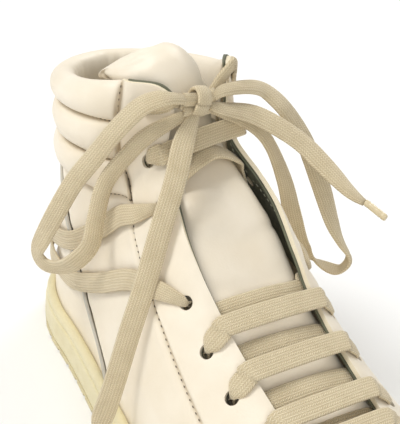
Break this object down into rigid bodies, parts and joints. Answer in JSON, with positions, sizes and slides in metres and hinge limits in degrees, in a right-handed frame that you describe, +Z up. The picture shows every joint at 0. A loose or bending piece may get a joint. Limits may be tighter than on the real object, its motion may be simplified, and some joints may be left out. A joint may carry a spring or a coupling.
{
  "type": "high top shoe",
  "caption": "Padded leather basketball high top with a cup sole, stacked collar rolls, a puffed tongue, flat laces tied in a bow and an ankle wrap.",
  "frame": {"origin": "on the ground under the middle of the shoe's box, measured without its free laces", "axes": "+X towards the toe, +Y towards the medial side, +Z up"},
  "size_m": [0.3036, 0.1291, 0.1648],
  "materials": {
    "leather": "soft full grain, satin",
    "lining": "matte",
    "facing": "matte",
    "lace": "woven cotton",
    "rubber": "satin",
    "foam": "matte foam",
    "board": "matte fibre board",
    "steel": "bare",
    "stiffener": "matte",
    "aglet": "clear film over cord",
    "stripe": "metallic grey",
    "red_webbing": "woven"
  },
  "bodies": {
    "shoe_body": {"outsole_tread": "rubber", "sidewall_rand": "rubber", "rand_top_band": "rubber", "midsole_core": "foam", "shank": "steel", "insole_board": "board", "heel_panel": "leather", "stripe_lateral": "stripe", "quarter_lateral": "leather", "eyestay_lateral": "leather", "eyestay_facing_lateral": "facing", "stripe_medial": "stripe", "quarter_medial": "leather", "eyestay_medial": "leather", "eyestay_facing_medial": "facing", "toe_overlay": "leather", "vamp": "leather", "collar_roll_lower": "leather", "collar_roll_middle": "leather", "collar_roll_top": "leather", "heel_counter": "stiffener", "toe_puff": "stiffener", "collar_lining": "lining", "forefoot_lining": "lining", "heel_loop": "red_webbing", "lace_bar_1": "lace", "lace_bar_2": "lace", "lace_bar_3": "lace", "lace_bar_4": "lace", "lace_bar_5": "lace", "lace_cross_1": "lace", "lace_cross_2": "lace", "lace_cross_3": "lace", "lace_cross_4": "lace", "lace_cross_5": "lace", "lace_strand_lateral": "lace", "lace_strand_medial": "lace", "ankle_wrap_upper": "lace", "ankle_wrap_lower": "lace", "bow_knot": "lace", "bow_loop_left": "lace", "bow_loop_right": "lace", "bow_end_right": "lace", "aglet_right": "aglet", "bow_end_left": "lace", "aglet_left": "aglet"},
    "tongue_body": {"tongue": "leather", "tongue_lining": "lining"},
    "insole_body": {"sockliner": "foam"}
  },
  "joints": [
    {"name": "tongue_tilt", "type": "hinge", "parent": "shoe_body", "child": "tongue_body", "pos_m": [0.082, 0, 0.049], "axis": [0, 1, 0], "range_deg": [-8, 0], "stiffness_Nm_per_rad": 1.5, "springref_deg": 5.73},
    {"name": "insole_lift", "type": "hinge", "parent": "shoe_body", "child": "insole_body", "pos_m": [0.1385, 0.004, 0.0086], "axis": [0, 1, 0], "range_deg": [0, 8]}
  ]
}
